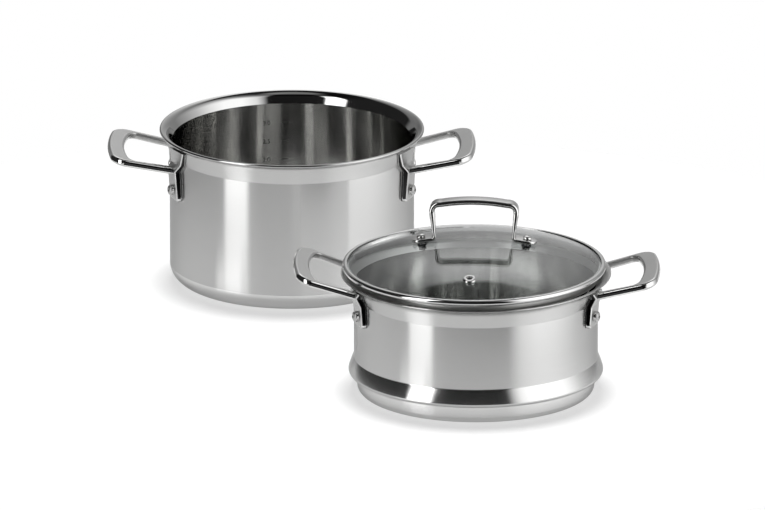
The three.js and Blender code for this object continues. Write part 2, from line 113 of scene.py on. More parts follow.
def endGroup(tree, given, pattern, height):
    # shade and roughness follow the pattern, the height is for a bump
    centred = newMath(tree, "SUBTRACT", pattern, 0.5)
    shade = newMath(tree, "MULTIPLY", centred, given["Shade Depth"])
    rough = newMath(tree, "MULTIPLY", centred, given["Rough Spread"])
    setSockets(tree, tree.nodes.new("NodeGroupOutput"), {
        "Shade": newMath(tree, "ADD", 1.0, shade),
        "Roughness": newMath(tree, "ADD", given["Rough Middle"], rough),
        "Height": height,
    })
    return tree


def makeBrushLines():
    # fine lines that run round a turned piece, on its wall and on its flat base alike
    tree, given = newGroup("brushLines", {
        "Fineness": 2200.0, "Run": 9.0, "Shade Depth": 0.1, "Rough Middle": 0.3, "Rough Spread": 0.06})
    place = newNode(tree, "TexCoord").outputs["Object"]
    x, y, z = newNode(tree, "SeparateXYZ", {0: place}).outputs
    squares = newMath(tree, "ADD", newMath(tree, "MULTIPLY", x, x), newMath(tree, "MULTIPLY", y, y))
    along = newMath(tree, "ADD", newMath(tree, "SQRT", squares), z)
    vector = newNode(tree, "CombineXYZ", {
        0: newMath(tree, "MULTIPLY", x, given["Run"]),
        1: newMath(tree, "MULTIPLY", y, given["Run"]),
        2: newMath(tree, "MULTIPLY", along, given["Fineness"]),
    }).outputs[0]
    lines = newNode(tree, "TexNoise", {"Vector": vector, "Scale": 1.0, "Detail": 3.0, "Roughness": 0.65})
    return endGroup(tree, given, lines.outputs[0], lines.outputs[0])


def makeHandlingHaze():
    # faint cloudy marks left by wiping and handling, with a fine grain for the bump
    tree, given = newGroup("handlingHaze", {
        "Size": 26.0, "Rough Middle": 0.1, "Rough Spread": 0.06, "Shade Depth": 0.05})
    place = newNode(tree, "TexCoord").outputs["Object"]
    cloud = newNode(tree, "TexNoise", {"Vector": place, "Scale": given["Size"], "Detail": 5.0, "Roughness": 0.6})
    grain = newNode(tree, "TexNoise", {"Vector": place, "Scale": 1900.0, "Detail": 2.0})
    return endGroup(tree, given, cloud.outputs[0], grain.outputs[0])


brushLines = makeBrushLines()
handlingHaze = makeHandlingHaze()

# finishes: colour, values for the lines or the haze, strength and depth of the bump, and plain shader values
plainBrushed = {
    "Metallic": 1.0,
    "Specular Tint": (0.6, 0.6, 0.6, 1.0),      # darker at a flat angle
    "Anisotropic": 1.0,
    "Anisotropic Rotation": 0.25,
}
brushedFinish = {
    "colour": (0.64, 0.64, 0.635),
    "lines": {"Shade Depth": 0.1, "Rough Middle": 0.22, "Rough Spread": 0.03},
    "bump": (0.12, 0.02),
    "plain": plainBrushed,
}
# painted light: a brighter copy of the brushed steel, for the foot and skirt that should show the lit floor
footPaintedLightFinish = {
    "colour": (0.8, 0.8, 0.795),
    "lines": {"Shade Depth": 0.06, "Rough Middle": 0.17, "Rough Spread": 0.03},
    "bump": (0.06, 0.02),
    "plain": plainBrushed,
}
bulgeFinish = {**footPaintedLightFinish, "colour": (0.66, 0.66, 0.655)}
# painted light: the colour is raised above the outer steel's to lift the light inside the vessels
insidePaintedLightFinish = {
    "colour": (0.72, 0.72, 0.71),
    "lines": {"Fineness": 1500.0, "Run": 7.0, "Shade Depth": 0.08, "Rough Middle": 0.095, "Rough Spread": 0.02},
    "bump": (0.04, 0.02),
    "plain": plainBrushed,
}
polishedFinish = {
    "colour": (0.66, 0.66, 0.655),
    "haze": {"Size": 26.0, "Rough Middle": 0.07, "Rough Spread": 0.06, "Shade Depth": 0.05},
    "bump": (0.02, 0.01),
    "plain": {"Metallic": 1.0},
}
# painted shade: a darker copy of the polished steel, for the lip and the pot's inner flare
bandPaintedShadeFinish = {
    "colour": (0.52, 0.52, 0.515),
    "haze": {"Size": 20.0, "Rough Middle": 0.06, "Rough Spread": 0.03, "Shade Depth": 0.04},
    "bump": (0.02, 0.01),
    "plain": {"Metallic": 1.0},
}
# painted dark reflection: polished steel painted near black, for faces that should show a dark reflection
paintedShadeFinish = {
    "colour": (0.04, 0.04, 0.04),
    "haze": {"Size": 26.0, "Rough Middle": 0.1, "Rough Spread": 0.06, "Shade Depth": 0.05},
    "bump": (0.02, 0.01),
    "plain": {"Metallic": 1.0},
}
satinFinish = {
    "colour": (0.52, 0.52, 0.515),
    "haze": {"Size": 60.0, "Rough Middle": 0.34, "Rough Spread": 0.1, "Shade Depth": 0.08},
    "bump": (0.18, 0.02),
    "plain": {"Metallic": 0.78},
}
glassFinish = {
    "colour": (0.93, 0.95, 0.945),
    "haze": {"Size": 18.0, "Rough Middle": 0.004, "Rough Spread": 0.006, "Shade Depth": 0.02},
    "plain": {"Transmission Weight": 1.0, "IOR": 1.5},
}
siliconeFinish = {
    "colour": (0.016, 0.016, 0.017),
    "haze": {"Size": 120.0, "Rough Middle": 0.55, "Rough Spread": 0.2, "Shade Depth": 0.4},
    "bump": (0.3, 0.03),
    "plain": {},
}
etchedFinish = {
    "colour": (0.12, 0.12, 0.12),
    "haze": {"Size": 200.0, "Rough Middle": 0.5, "Rough Spread": 0.1, "Shade Depth": 0.2},
    "plain": {"Metallic": 1.0},
}


def newMaterial(name):
    material = bpy.data.materials.new(name)
    material.use_nodes = True
    return material, material.node_tree, material.node_tree.nodes["Principled BSDF"]


def makeFinish(name, finish):
    material, tree, shader = newMaterial(name)
    brushed = "lines" in finish
    pattern = newNode(tree, "Group", finish["lines" if brushed else "haze"],
                      node_tree=brushLines if brushed else handlingHaze).outputs
    colour = newNode(tree, "Mix", {"Factor": 1.0, "A": (*finish["colour"], 1.0), "B": pattern["Shade"]},
                     data_type="RGBA", blend_type="MULTIPLY").outputs["Result"]
    setSockets(tree, shader, {"Base Color": colour, "Roughness": pattern["Roughness"], **finish["plain"]})
    if brushed:
        turn = newNode(tree, "Tangent", direction_type="RADIAL", axis="Z")
        setSockets(tree, shader, {"Tangent": turn.outputs[0]})
    if "bump" in finish:
        strength, depth = finish["bump"]
        bump = newNode(tree, "Bump", {"Strength": strength, "Distance": depth * mm, "Height": pattern["Height"]})
        setSockets(tree, shader, {"Normal": bump.outputs[0]})
    return material


brushedSteel = makeFinish("brushedSteel", brushedFinish)
bulgeSteel = makeFinish("bulgeSteel", bulgeFinish)
footPaintedLightSteel = makeFinish("footPaintedLightSteel", footPaintedLightFinish)
insidePaintedLightSteel = makeFinish("insidePaintedLightSteel", insidePaintedLightFinish)
polishedSteel = makeFinish("polishedSteel", polishedFinish)
satinSteel = makeFinish("satinSteel", satinFinish)
bandPaintedShadeSteel = makeFinish("bandPaintedShadeSteel", bandPaintedShadeFinish)
paintedShadeSteel = makeFinish("paintedShadeSteel", paintedShadeFinish)
lidGlass = makeFinish("lidGlass", glassFinish)
blackSilicone = makeFinish("blackSilicone", siliconeFinish)
etchedMark = makeFinish("etchedMark", etchedFinish)
print("materials made")


# mesh helpers
sharpAngle = 35.0       # edges that turn by more stay sharp
vesselSides = 256       # steps round a large turned piece and a small one
smallSides = 48
weldReach = 0.002
tiny = 1e-4


def smoothShade(piece, sharp=sharpAngle):
    piece.data.shade_smooth()
    piece.data.set_sharp_from_angle(angle=radians(sharp))


def moveTo(piece, centre):
    piece.location = (centre[0] * mm, centre[1] * mm, 0)


def newPiece(name, verts, faces, materials, slots=None, centre=(0.0, 0.0), sharp=sharpAngle):
    mesh = bpy.data.meshes.new(name)
    mesh.from_pydata([(x * mm, y * mm, z * mm) for x, y, z in verts], [], faces)
    for material in materials:
        mesh.materials.append(material)
    if slots:
        mesh.polygons.foreach_set("material_index", slots)
    piece = addObject(name, mesh)
    moveTo(piece, centre)
    smoothShade(piece, sharp)
    return piece


def evaluated(piece):
    graph = bpy.context.evaluated_depsgraph_get()
    return bpy.data.meshes.new_from_object(piece.evaluated_get(graph))


def applyModifiers(piece):
    made = evaluated(piece)
    piece.modifiers.clear()
    piece.data = made


def meshFromCurve(curve):
    source = addObject("source", curve)
    bpy.context.view_layer.update()
    mesh = evaluated(source)
    bpy.data.objects.remove(source)
    return mesh


def weldSeams(piece):
    # closes the seams of a mesh that comes from a curve
    piece.modifiers.new("weld", "WELD").merge_threshold = weldReach * mm
    applyModifiers(piece)


def combine(piece, other, operation, sharp=sharpAngle):
    # joins or cuts with a second piece, which is used up
    change = piece.modifiers.new("combine", "BOOLEAN")
    change.object = other
    change.operation = operation
    change.solver = "EXACT"
    change.use_self = operation == "UNION"
    applyModifiers(piece)
    bpy.data.objects.remove(other)
    smoothShade(piece, sharp)


def finishPiece(piece, body, slot, *nodes):
    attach(piece, body)
    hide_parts(*nodes)


def arcPoints(x, z, radius, start, end, step=4.0):
    count = max(2, ceil(abs(end - start) / step))
    turns = [radians(start + (end - start) * i / count) for i in range(count + 1)]
    return [(x + radius * cos(turn), z + radius * sin(turn)) for turn in turns]


def bezier(corners, count):
    points = []
    for i in range(count + 1):
        line = [Vector(c) for c in corners]
        while len(line) > 1:
            line = [a.lerp(b, i / count) for a, b in zip(line, line[1:])]
        points.append(line[0])
    return points


def ring(radius, height, sides, x=0.0, y=0.0):
    turns = [2 * pi * i / sides for i in range(sides)]
    return [(x + radius * cos(turn), y + radius * sin(turn), height) for turn in turns]


def cleanLine(points):
    kept = [points[0]]
    for point in points[1:]:
        if dist(point, kept[-1]) > tiny:
            kept.append(point)
    return kept


def holdStraights(line, hold=0.4, longRun=6.0):
    # extra points by the ends of long straight runs, so that these shade as straight
    kept = [line[0]]
    for first, last in zip(line, line[1:]):
        length = dist(first, last)
        if length > longRun:
            start, end = Vector(first), Vector(last)
            kept += [tuple(start.lerp(end, hold / length)), tuple(end.lerp(start, hold / length))]
        kept.append(last)
    return kept


def lathe(name, profile, materials, slotAt=None, centre=(0.0, 0.0), sides=vesselSides, closed=False,
          sharp=sharpAngle):
    # turned piece from (radius, height) points; slotAt gives a band's material from its number and two ends
    line = cleanLine(profile)
    verts, rings = [], []
    for radius, height in line:
        first = len(verts)
        if radius < tiny:
            rings.append([first] * sides)
            verts.append((0.0, 0.0, height))
        else:
            rings.append(range(first, first + sides))
            verts += ring(radius, height, sides)
    faces, slots = [], []
    for low in range(len(line) if closed else len(line) - 1):
        high = (low + 1) % len(line)
        slot = slotAt(low, line[low], line[high]) if slotAt else 0
        for i in range(sides):
            j = (i + 1) % sides
            corners = [rings[low][i], rings[low][j], rings[high][j], rings[high][i]]
            face = [c for k, c in enumerate(corners) if c != corners[k - 1]]
            if len(face) > 2:
                faces.append(face)
                slots.append(slot)
    return newPiece(name, verts, faces, materials, slots, centre, sharp)


def skin(verts, faces, sections, closed=False):
    # adds a skin over a row of equal closed sections, which runs in a ring or has two caps
    first, rows, count = len(verts), len(sections), len(sections[0])
    verts += [point for section in sections for point in section]
    for row in range(rows if closed else rows - 1):
        low = first + row * count
        high = first + (row + 1) % rows * count
        for i in range(count):
            j = (i + 1) % count
            faces.append([low + i, low + j, high + j, high + i])
    if not closed:
        last = first + (rows - 1) * count
        faces.append(list(range(first, first + count))[::-1])
        faces.append(list(range(last, last + count)))


def sweep(name, sections, materials, slotAt=None, sharp=sharpAngle, closed=False):
    verts, faces = [], []
    skin(verts, faces, sections, closed)
    slots = None
    if slotAt:
        slots = [slotAt(row, i) for row in range(len(sections) - 1) for i in range(len(sections[0]))] + [0, 0]
    return newPiece(name, verts, faces, materials, slots, sharp=sharp)


# pot and steamer: what both share is the flared rim with a rounded lip
vesselShape = {
    "innerRadius": 100.0,
    "rimCurve": 15.5,
    "insideFlare": 8.8,     # height of the inner flare
    "insideCrease": 36.0,   # its lean at the crease and at the lip
    "insideTurn": 76.0,
}


def outerRadius(shape):
    return vesselShape["innerRadius"] + shape["wall"]


def lipMiddle(shape):
    middle = vesselShape["rimCurve"] - shape["wall"] / 2
    out = vesselShape["rimCurve"] - middle * cos(radians(shape["rimTurn"]))
    return vesselShape["innerRadius"] + out, shape["height"] - shape["wall"] / 2


def flareBend(shape):
    # middle of the short bend that leads the outer side of the flare into the lip
    turn = radians(shape["rimTurn"])
    x, z = lipMiddle(shape)
    reach = shape["wall"] / 2 + shape["lipBend"]
    return x + reach * cos(turn), z - reach * sin(turn)


def flareTilt(shape):
    # lean of the straight flare, from the band's lower edge to the bend at the lip
    bend = shape["lipBend"]
    x, z = flareBend(shape)
    tilt = 0.3      # first guess
    for i in range(40):
        across = x - bend * cos(tilt) - shape["wallRadius"]
        tilt = atan2(across, z + bend * sin(tilt) - shape["bandLow"])
    return degrees(tilt)


def wallRadiusAt(shape, height):
    tilt = radians(flareTilt(shape))
    bend = shape["lipBend"]
    x, z = flareBend(shape)
    if height < shape["bandLow"]:
        return shape["wallRadius"]
    if height - z < bend * sin(tilt):
        return shape["wallRadius"] + (height - shape["bandLow"]) * tan(tilt)
    up = min(height - z, bend * 0.98)       # stays short of the end of the bend
    return x - sqrt(bend ** 2 - up ** 2)


def outerFlare(shape):
    return [(shape["wallRadius"], shape["bandLow"]),
            *arcPoints(*flareBend(shape), shape["lipBend"], 180 - flareTilt(shape), 180 - shape["rimTurn"])]


def innerFlare(shape):
    # crease, straight cone and a round up to the lip
    first = radians(vesselShape["insideCrease"])
    last = radians(vesselShape["insideTurn"])
    x, z = lipMiddle(shape)
    x -= shape["wall"] / 2 * cos(last)
    z += shape["wall"] / 2 * sin(last)
    across = x - shape["insideRadius"]
    rise = vesselShape["insideFlare"]
    ratio = (cos(first) - cos(last)) / (sin(last) - sin(first))
    straight = (ratio * rise - across) / (ratio * cos(first) - sin(first))
    bend = (rise - straight * cos(first)) / (sin(last) - sin(first))
    return [(shape["insideRadius"], z - rise),
            *arcPoints(x + bend * cos(last), z - bend * sin(last), bend,
                       180 - vesselShape["insideCrease"], 180 - vesselShape["insideTurn"], 2.0)]


def makeVessel(name, shape, lineAt, flareSteel):
    # turned from one line: outside, lip and inside
    wall, band, inside, bulge, foot, flare = range(6)
    steels = [brushedSteel, bandPaintedShadeSteel, insidePaintedLightSteel, bulgeSteel, footPaintedLightSteel, flareSteel]

    def fullLine(inset):
        return holdStraights(cleanLine(lineAt(inset) + (innerFlare(shape) if inset else outerFlare(shape))))
    outer = fullLine(0.0)
    lip = arcPoints(*lipMiddle(shape), shape["wall"] / 2, -shape["rimTurn"],
                    180 - vesselShape["insideTurn"], 15.0)[1:-1]
    flareLow = lip[-1][1] - vesselShape["insideFlare"] - 0.1     # just under the crease

    def slotAt(index, low, high):
        middle = (low[1] + high[1]) / 2
        if index < len(outer) - 1:
            # the foot gets the brighter steel, painted with light
            if middle < shape["footTop"]:
                return foot
            return bulge if middle < shape.get("bulgeTop", 0.0) else wall
        if index < len(outer) + len(lip):
            return band
        return flare if middle > flareLow else inside
    return lathe(name, outer + lip + fullLine(shape["wall"])[::-1], steels, slotAt, shape["centre"])


# pot: flat base and straight wall
potShape = {
    "name": "pot",
    "centre": (0.0, 0.0),
    "wall": 2.5,
    "wallRadius": 101.7,
    "insideRadius": 99.2,
    "height": 130.3,
    "corner": 15.0,
    "footTop": 14.9,
    "rimTurn": 62.0,
    "lipBend": 7.0,         # round that leads the flare into the lip
    "bandLow": 112.0,       # lower edge of the band, where the flare starts
    "handleDrop": 26.0,
    "tilt": {"left": 11.4, "right": 12.6},
}


def potLine(inset):
    shape = potShape
    radius = (shape["insideRadius"] if inset else shape["wallRadius"]) + inset
    return [
        (0.0, inset),
        ((radius - shape["corner"]) / 2, inset),
        *arcPoints(radius - shape["corner"], shape["corner"], shape["corner"] - inset, -90, 0),
    ]


def makePot():
    body = makeVessel("potBody", potShape, potLine, bandPaintedShadeSteel)
    finishPiece(body, "pot", "brushed_steel", "pot_body")


# volume marks on the inside of the back wall: a number and a line for each half litre
markShape = {
    "levels": [("3.0", 105.0), ("2.5", 89.0), ("2.0", 73.0), ("1.5", 57.0), ("1.0", 41.0)],
    "size": 5.5,
    "depth": 0.14,
    "turn": -14.5,
    "textDrop": 2.0,        # foot of the number under its line
    "lineTurn": -3.5,
    "line": (6.0, 0.6),
    "lineSteps": 6,
}


def makeMarks():
    m = markShape
    long, high = m["line"]
    half = m["depth"] / 2
    section = [(high / 2, -half), (high / 2, half), (-high / 2, half), (-high / 2, -half)]
    steps = [long * (i / m["lineSteps"] - 0.5) for i in range(m["lineSteps"] + 1)]
    verts, faces = [], []

    def onWall(along, up, out, turn, height):
        angle = radians(turn) + along / potShape["insideRadius"]
        radius = potShape["insideRadius"] - out
        return radius * sin(angle), radius * cos(angle), height + up
    for text, height in m["levels"]:
        curve = bpy.data.curves.new("mark", "FONT")
        curve.body = text
        curve.size = m["size"]
        curve.extrude = half
        mesh = meshFromCurve(curve)
        first = len(verts)
        verts += [onWall(*v.co, m["turn"], height - m["textDrop"]) for v in mesh.vertices]
        faces += [[first + i for i in face.vertices] for face in mesh.polygons]
        bar = [[onWall(along, *point, m["lineTurn"], height) for point in section] for along in steps]
        skin(verts, faces, bar)
    marks = newPiece("potVolumeMarks", verts, faces, [etchedMark])
    weldSeams(marks)
    smoothShade(marks)
    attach(marks, "pot")


# steamer: perforated base, skirt that enters the pot, bulge that rests on the pot's rim
steamerShape = {
    "name": "steamer",
    "centre": (152.0, -308.0),
    "wall": 1.0,
    "wallRadius": 100.1,
    "insideRadius": 99.1,
    "height": 100.0,
    "corner": 5.0,
    "footTop": 15.4,
    "rimTurn": 70.0,
    "lipBend": 11.5,
    "bandLow": 82.7,
    "handleDrop": 10.0,
    "tilt": {"left": 18.6, "right": 14.2},
    "skirtRadius": 97.4,
    "stepFillet": 1.5,
    "bulgeRadius": 104.5,
    "bulgeHeight": 17.8,
    "bulgeEdge": 2.6,       # round at the widest line
    "bulgeLean": 17.0,
    "bulgeTop": 30.3,
    "bulgeHollow": 3.0,     # round between the bulge and the wall
    "holeRadius": 4.5,
    "holePitch": 18.0,
    "holesPerRing": 6,
    "holeRings": 4,
    "holeSides": 32,
    "holeCut": (-2.0, 3.0),     # ends of the cutters
}


def steamerLine(inset):
    shape = steamerShape
    radius = shape["wallRadius"]
    bulge = shape["bulgeRadius"]
    widest = shape["bulgeHeight"]
    edge = shape["bulgeEdge"]
    hollow = shape["bulgeHollow"]
    skirt = shape["skirtRadius"]
    fillet = shape["stepFillet"]
    lean = radians(shape["bulgeLean"])
    out = bulge - edge + edge * cos(lean)      # where the edge round meets the slope
    up = widest + edge * sin(lean)
    across = radius + hollow - out
    rise = shape["bulgeTop"] - up
    over = (across ** 2 + rise ** 2 - hollow ** 2) / (
        2 * (hollow - across * cos(lean) - rise * sin(lean)))
    slope = degrees(atan2(rise + over * sin(lean), across + over * cos(lean)))
    return [
        (0.0, inset),
        *arcPoints(skirt - shape["corner"], shape["corner"], shape["corner"] - inset, -90, 0),
        *arcPoints(skirt + fillet, widest - edge - fillet, fillet + inset, 180, 90, 6.0),
        *arcPoints(bulge - edge, widest, edge - inset, -90, shape["bulgeLean"]),
        *arcPoints(out - over * cos(lean), up - over * sin(lean), over - inset,
                   shape["bulgeLean"], slope, 1.0),
        *arcPoints(radius + hollow, shape["bulgeTop"], hollow + inset, 180 + slope, 180, 2.0),
    ]


def steamHoles():
    s = steamerShape
    verts, faces = [], []
    for row in range(1, s["holeRings"] + 1):
        for x, y, z in ring(row * s["holePitch"], 0.0, row * s["holesPerRing"]):
            skin(verts, faces, [ring(s["holeRadius"], height, s["holeSides"], x, y) for height in s["holeCut"]])
    return newPiece("steamHoles", verts, faces, [insidePaintedLightSteel], centre=s["centre"])


def makeSteamer():
    body = makeVessel("steamerBody", steamerShape, steamerLine, satinSteel)
    combine(body, steamHoles(), "DIFFERENCE")
    finishPiece(body, "steamer", "brushed_steel", "steamer_body")


makePot()
makeMarks()
makeSteamer()
print("pot and steamer made")


# side handles: a flat loop with two straps, and a rivet through each strap
# polished, satin, and near-black steel that paints a dark reflection
handleSteels = [polishedSteel, satinSteel, paintedShadeSteel]
polishedSlot, satinSlot, paintedShadeSlot = range(3)

handleShape = {
    "length": 56.3,
    "thickness": 6.0,
    "round": 2.3,
    "armWidth": 6.5,
    "armRootHalf": 40.5,
    "paddleHalf": 45.5,
    "paddleWidth": 13.6,
    "paddleCorner": 13.0,
    "paddleCrown": 2.5,
    "slotCorner": 6.5,
    "slotCrown": 4.0,
    "rootGap": 0.7,
    "sharp": 30.0,
    "cornerSteps": 14,
    "crownSteps": 20,
    "satinLevel": 0.995,        # satin where a face lies this flat
    "satinInner": (-0.3, -0.5),     # or where an arm's face looks in, and not far down
    "darkOuter": 0.6,           # painted dark reflection where an arm's face looks out, and not far up or down
    "darkLevel": (-0.2, 0.5),
}


def roundEnd(reach, half, corner, crown, side):
    # end of the loop from one side to the other: two rounded corners and a crowned edge between
    edge = reach - crown
    flat = half - corner
    lean = crown * corner / flat
    first = [(edge - corner, -side * half), (edge - corner / 2, -side * half),
             (edge - lean, -side * (flat + corner / 2)), (edge, -side * flat)]
    last = [(x, -y) for x, y in first[::-1]]
    steps = handleShape["cornerSteps"]
    crowned = bezier([first[-1], (reach + crown, 0.0), last[0]], handleShape["crownSteps"])
    return bezier(first, steps) + crowned + bezier(last, steps)


def rootReach(shape):
    return sqrt(outerRadius(shape) ** 2 - strapShape["offset"] ** 2) + strapShape["thickness"] / 2


def handleOutline(shape):
    h = handleShape
    inset = shape["wallRadius"] + h["rootGap"]
    outer = h["armRootHalf"]
    inner = h["armRootHalf"] - h["armWidth"]
    outside = roundEnd(h["length"], h["paddleHalf"], h["paddleCorner"], h["paddleCrown"], 1)
    slot = roundEnd(h["length"] - h["paddleWidth"], h["paddleHalf"] - h["armWidth"],
                    h["slotCorner"], h["slotCrown"], -1)

    def root(y):
        return sqrt(inset ** 2 - y ** 2) - rootReach(shape), y

    def along(first, last):
        # short steps, so that the shading of the root stays at the root
        return bezier([first, last], h["cornerSteps"])
    line = along(root(-outer), outside[0]) + outside + along(outside[-1], root(outer))
    line += along(root(inner), slot[0]) + slot + along(slot[-1], root(-inner))
    return cleanLine(line)


def handleLoop(name, shape, tilt):
    # flat outline with rolled edges, made by a filled curve, then turned up at its root
    h = handleShape
    curve = bpy.data.curves.new(name, "CURVE")
    curve.dimensions = "2D"
    curve.fill_mode = "BOTH"
    curve.extrude = (h["thickness"] / 2 - h["round"]) * mm
    curve.bevel_depth = h["round"] * mm
    curve.bevel_resolution = 6
    curve.offset = -h["round"] * mm
    outline = handleOutline(shape)
    spline = curve.splines.new("POLY")
    spline.points.add(len(outline) - 1)
    for point, (x, y) in zip(spline.points, outline):
        point.co = (x * mm, y * mm, 0, 1)
    spline.use_cyclic_u = True
    mesh = meshFromCurve(curve)
    for material in handleSteels:
        mesh.materials.append(material)
    innerSide, innerLevel = h["satinInner"]
    darkLow, darkHigh = h["darkLevel"]
    for face in mesh.polygons:
        level = face.normal.z
        outward = face.normal.y * copysign(1.0, face.center.y)
        onArm = face.center.x < (h["length"] - h["paddleWidth"]) * mm
        if abs(level) > h["satinLevel"] or (onArm and outward < innerSide and level > innerLevel):
            face.material_index = satinSlot
        # faces of an arm that look out are painted dark as a reflection
        elif onArm and outward > h["darkOuter"] and darkLow < level < darkHigh:
            face.material_index = paintedShadeSlot
    root = Vector((rootReach(shape), 0, shape["height"] - shape["handleDrop"])) * mm
    mesh.transform(Matrix.Translation(root) @ Matrix.Rotation(radians(-tilt), 4, "Y"))
    piece = addObject(name, mesh)
    weldSeams(piece)
    return piece


# straps: a leg down the wall and a web up to the lip, heights from the loop's root
strapShape = {
    "width": 18.0,
    "thickness": 3.9,
    "rootThickness": 4.5,
    "tipThickness": 3.6,
    "webThickness": 2.4,
    "edge": 1.2,
    "innerEdge": 0.8,
    "tipRound": 2.2,
    "offset": 36.0,
    "legLean": 0.11,
    "legDrop": 25.5,
    "legCorner": 4.0,
    "webLean": 1.0,
    "webBend": 120.0,
    "webFan": 0.15,
    "webGap": 5.0,
    "clearance": 0.3,
    "cornerSteps": 12,
    "legSteps": 40,
    "broadFace": 12,        # faces of the section that are satin and painted dark
    "edgeFaces": range(2, 6),
    "edgeFrom": 2.5,
}


def strapMiddle(height):
    s = strapShape
    if height < 0:
        return s["offset"] - s["legLean"] * height
    return s["offset"] + s["webLean"] * height * (1 - height / s["webBend"])


def strapSection(half, thick):
    # closed outline of (along the wall, out from the wall), rounded more on the outer edges
    edge = min(strapShape["edge"], half * 0.9, thick * 0.48)        # the rounds stay clear of each other
    inner = min(strapShape["innerEdge"], half * 0.3, thick * 0.3)
    points = arcPoints(half - inner, inner, inner, -90, 0, 45.0)
    points += arcPoints(half - edge, thick - edge, edge, 0, 90, 10.0)
    points += arcPoints(edge - half, thick - edge, edge, 90, 180, 10.0)
    points += arcPoints(inner - half, inner, inner, 180, 270, 45.0)
    return points


def roundOff(size, fromTip):
    # what a round of this size takes off near the tip
    if fromTip >= size:
        return 0.0
    return size - sqrt(max(0.0, size ** 2 - (size - fromTip) ** 2))


def makeStrap(name, shape, side):
    s = strapShape
    root = shape["height"] - shape["handleDrop"]
    bottom = -s["legDrop"]
    top = shape["handleDrop"] - s["webGap"]
    heights = []
    for i in range(s["cornerSteps"] + 1):
        heights.append(bottom + s["legCorner"] * (1 - cos(pi / 2 * i / s["cornerSteps"])))
    for i in range(1, s["legSteps"] + 1):
        heights.append(bottom + s["legCorner"] + (top - bottom - s["legCorner"]) * i / s["legSteps"])
    sections = []
    for height in heights:
        half = s["width"] / 2 + s["webFan"] * max(0.0, height) - roundOff(s["legCorner"], height - bottom)
        endThickness, end = (s["webThickness"], top) if height > 0 else (s["tipThickness"], bottom)
        thick = s["rootThickness"] + (endThickness - s["rootThickness"]) * height / end
        thick -= roundOff(s["tipRound"], height - bottom)
        section = []
        for along, out in strapSection(half, thick):
            radius = wallRadiusAt(shape, root + height) + s["clearance"] + out
            y = outerRadius(shape) * sin((strapMiddle(height) + along) / outerRadius(shape))
            section.append((sqrt(radius ** 2 - y ** 2), side * y, root + height))
        sections.append(section[::-1] if side > 0 else section)
    count = len(sections[0])

    def slotAt(row, i):
        # satin on the broad outer face, painted dark reflection on the far edge
        face = (count - 2 - i) % count if side > 0 else i
        if face == s["broadFace"]:
            return satinSlot
        dark = face in s["edgeFaces"] and heights[row] > bottom + s["edgeFrom"]
        return paintedShadeSlot if dark else polishedSlot
    return sweep(name, sections, handleSteels, slotAt)


def makeHandle(shape, end):
    name = shape["name"] + "Handle" + end.capitalize()
    handle = handleLoop(name, shape, shape["tilt"][end])
    for side in (-1, 1):
        combine(handle, makeStrap("strap", shape, side), "UNION", handleShape["sharp"])
    if end == "left":
        handle.data.transform(Matrix.Rotation(pi, 4, "Z"))
    moveTo(handle, shape["centre"])
    handle.modifiers.new("faceNormals", "WEIGHTED_NORMAL").keep_sharp = True
    handle.visible_shadow = False
    finishPiece(handle, shape["name"], "satin_steel", shape["name"] + "_handle_" + end)


rivetShape = {
    "drop": 16.5,
    "headRadius": 4.4,
    "head": 4.3,
    "headRound": 2.0,
    "soft": 0.3,
    "sink": 0.2,            # into the strap
    "dimple": [(1.3, 0.0), (0.9, 0.1), (0.54, 0.5), (0.0, 0.6)],    # radius and depth
    # within this radius the dimple is painted dark as a reflection
    "darkRadius": 1.2,
    "polishedEdge": (0.1, 0.2),     # in from the head's side, and up from its seat
    "shankRadius": 2.2,
    "innerHeadRadius": 3.4,
    "innerHead": 1.0,
    "innerTaper": 1.0,
    "innerGap": 0.3,
}


def makeRivet(shape, end, place):
    r = rivetShape
    soft = r["soft"]
    seat = shape["wallRadius"] + strapShape["thickness"] + strapShape["clearance"] - r["sink"]
    inside = shape["wallRadius"] - shape["wall"] - r["innerGap"]
    top = seat + r["head"]
    profile = [
        (0.0, inside - r["innerHead"]),
        (r["innerHeadRadius"] - r["innerTaper"], inside - r["innerHead"]),
        (r["innerHeadRadius"], inside - soft),
        (r["innerHeadRadius"], inside),
        (r["shankRadius"], inside),
        (r["shankRadius"], seat),
        (r["headRadius"] - soft, seat),
        (r["headRadius"], seat + soft),
        *arcPoints(r["headRadius"] - r["headRound"], top - soft - r["headRound"], r["headRound"], 0, 75, 7.5),
        *[(radius, top - depth) for radius, depth in r["dimple"]],
    ]

    def slotAt(index, low, high):
        # satin dome, with a painted dark reflection in its dimple
        reach = (low[0] + high[0]) / 2
        inward, upward = r["polishedEdge"]
        if low[1] < seat + upward or reach > r["headRadius"] - inward:
            return polishedSlot
        return satinSlot if reach > r["darkRadius"] else paintedShadeSlot
    name = shape["name"] + "Rivet" + end.capitalize() + place.capitalize()
    rivet = lathe(name, profile, handleSteels, slotAt, sides=smallSides)
    side = 1 if (place == "rear") == (end == "right") else -1
    angle = side * strapMiddle(-r["drop"]) / outerRadius(shape) + (pi if end == "left" else 0.0)
    height = (shape["height"] - shape["handleDrop"] - r["drop"]) * mm
    rivet.data.transform(Matrix.Translation((0, 0, height)) @ Matrix.Rotation(angle, 4, "Z")
                         @ Matrix.Rotation(pi / 2, 4, "Y"))
    moveTo(rivet, shape["centre"])
    finishPiece(rivet, shape["name"], "polished_steel", shape["name"] + "_rivet_" + end + "_" + place)


for vessel in (potShape, steamerShape):
    for end in ("left", "right"):
        makeHandle(vessel, end)
        for place in ("front", "rear"):
            makeRivet(vessel, end, place)
print("handles and rivets made")


